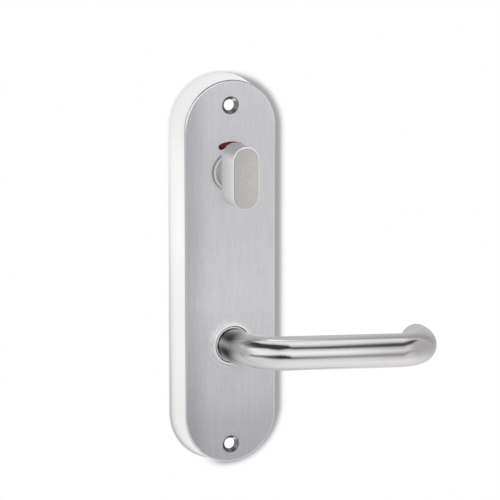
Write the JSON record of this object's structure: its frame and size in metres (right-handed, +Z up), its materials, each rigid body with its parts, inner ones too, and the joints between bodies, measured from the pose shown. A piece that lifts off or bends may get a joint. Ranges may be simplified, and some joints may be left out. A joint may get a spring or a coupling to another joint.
{
  "type": "privacy lever handle",
  "caption": "Door lever on a deep round-ended plate, with a return-to-door tube grip, a privacy turn and an arc-window indicator, spindles for a lock and bolt.",
  "frame": {"origin": "on the lever's turning axis, at the face of the door that the plate is fixed to", "axes": "+Z up the door; +X along the door face towards the grip's far end; +Y into the door, so the plate, lever and turn stand out along -Y"},
  "size_m": [0.15, 0.1109, 0.2196],
  "materials": {
    "satin_stainless": "satin, fine vertical grain",
    "bright_stainless": "polished",
    "tube_stainless": "satin polished along the tube",
    "blasted_stainless": "fine blasted, bright edge",
    "turned_steel": "turned",
    "zinc_casting": "as cast",
    "zinc_plated_steel": "zinc plated",
    "spring_steel": "oiled spring steel",
    "black_acetal": "moulded, matt",
    "white_ptfe": "smooth, waxy",
    "red_enamel": "gloss",
    "green_enamel": "gloss"
  },
  "bodies": {
    "plate": {"plate_cover": "satin_stainless", "chassis_plate": "zinc_casting", "chassis_screws": "zinc_plated_steel", "collar_ring": "bright_stainless", "lever_bush": "black_acetal", "thrust_washer": "white_ptfe", "spring_cup": "zinc_plated_steel", "cup_rivets": "zinc_plated_steel", "return_spring": "spring_steel", "stop_pins": "turned_steel", "snib_base_ring": "bright_stainless", "snib_bush": "black_acetal", "friction_washer": "white_ptfe", "detent_ball": "turned_steel", "detent_spring": "spring_steel"},
    "lever": {"lever_tube": "tube_stainless", "lever_end_cap": "tube_stainless", "lever_sleeve": "bright_stainless", "lever_neck": "turned_steel", "lever_circlip": "spring_steel", "cam_plate": "zinc_plated_steel", "spindle": "zinc_plated_steel", "spindle_roll_pin": "spring_steel"},
    "privacy_turn": {"snib_knob": "blasted_stainless", "indicator_disc": "black_acetal", "label_red": "red_enamel", "label_green": "green_enamel", "indicator_screws": "zinc_plated_steel", "tail_bar": "zinc_plated_steel"}
  },
  "joints": [
    {"name": "lever_turn", "type": "hinge", "parent": "plate", "child": "lever", "pos_m": [0, 0, 0], "axis": [0, 1, 0], "range_deg": [0, 45], "stiffness_Nm_per_rad": 1.2, "springref_deg": -34.38},
    {"name": "snib_turn", "type": "hinge", "parent": "plate", "child": "privacy_turn", "pos_m": [0, 0, 0.097], "axis": [0, 1, 0], "range_deg": [0, 90]}
  ]
}
